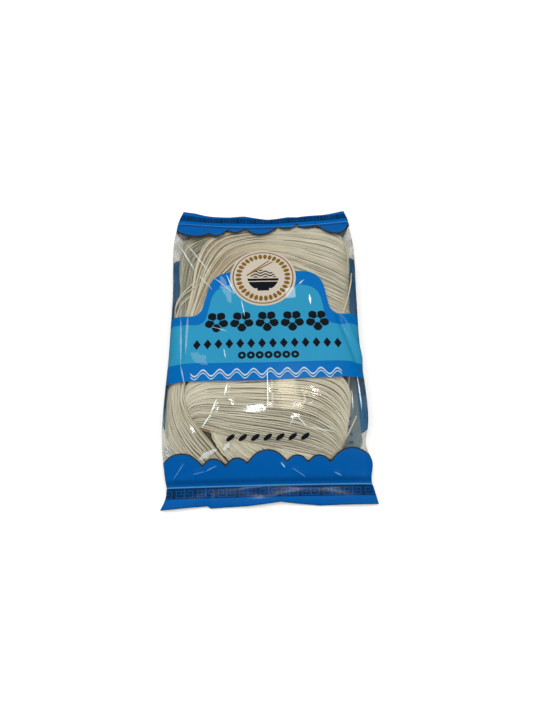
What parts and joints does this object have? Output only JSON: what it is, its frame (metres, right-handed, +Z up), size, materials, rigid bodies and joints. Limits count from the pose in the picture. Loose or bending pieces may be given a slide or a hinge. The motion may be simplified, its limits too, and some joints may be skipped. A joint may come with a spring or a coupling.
{
  "type": "bagged dried noodles",
  "caption": "Clear printed film pillow bag of fine dried wheat noodles, lying flat, with a wavy heat seal across each end.",
  "frame": {"origin": "middle of the bag's footprint, on the surface it lies on", "axes": "+Z up out of the printed front, +Y along the bag towards the far end seal, +X to the right"},
  "size_m": [0.1568, 0.262, 0.031],
  "materials": {
    "film": "glossy",
    "noodles": "matte"
  },
  "bodies": {
    "root": {"bag": "film"}
  },
  "joints": []
}
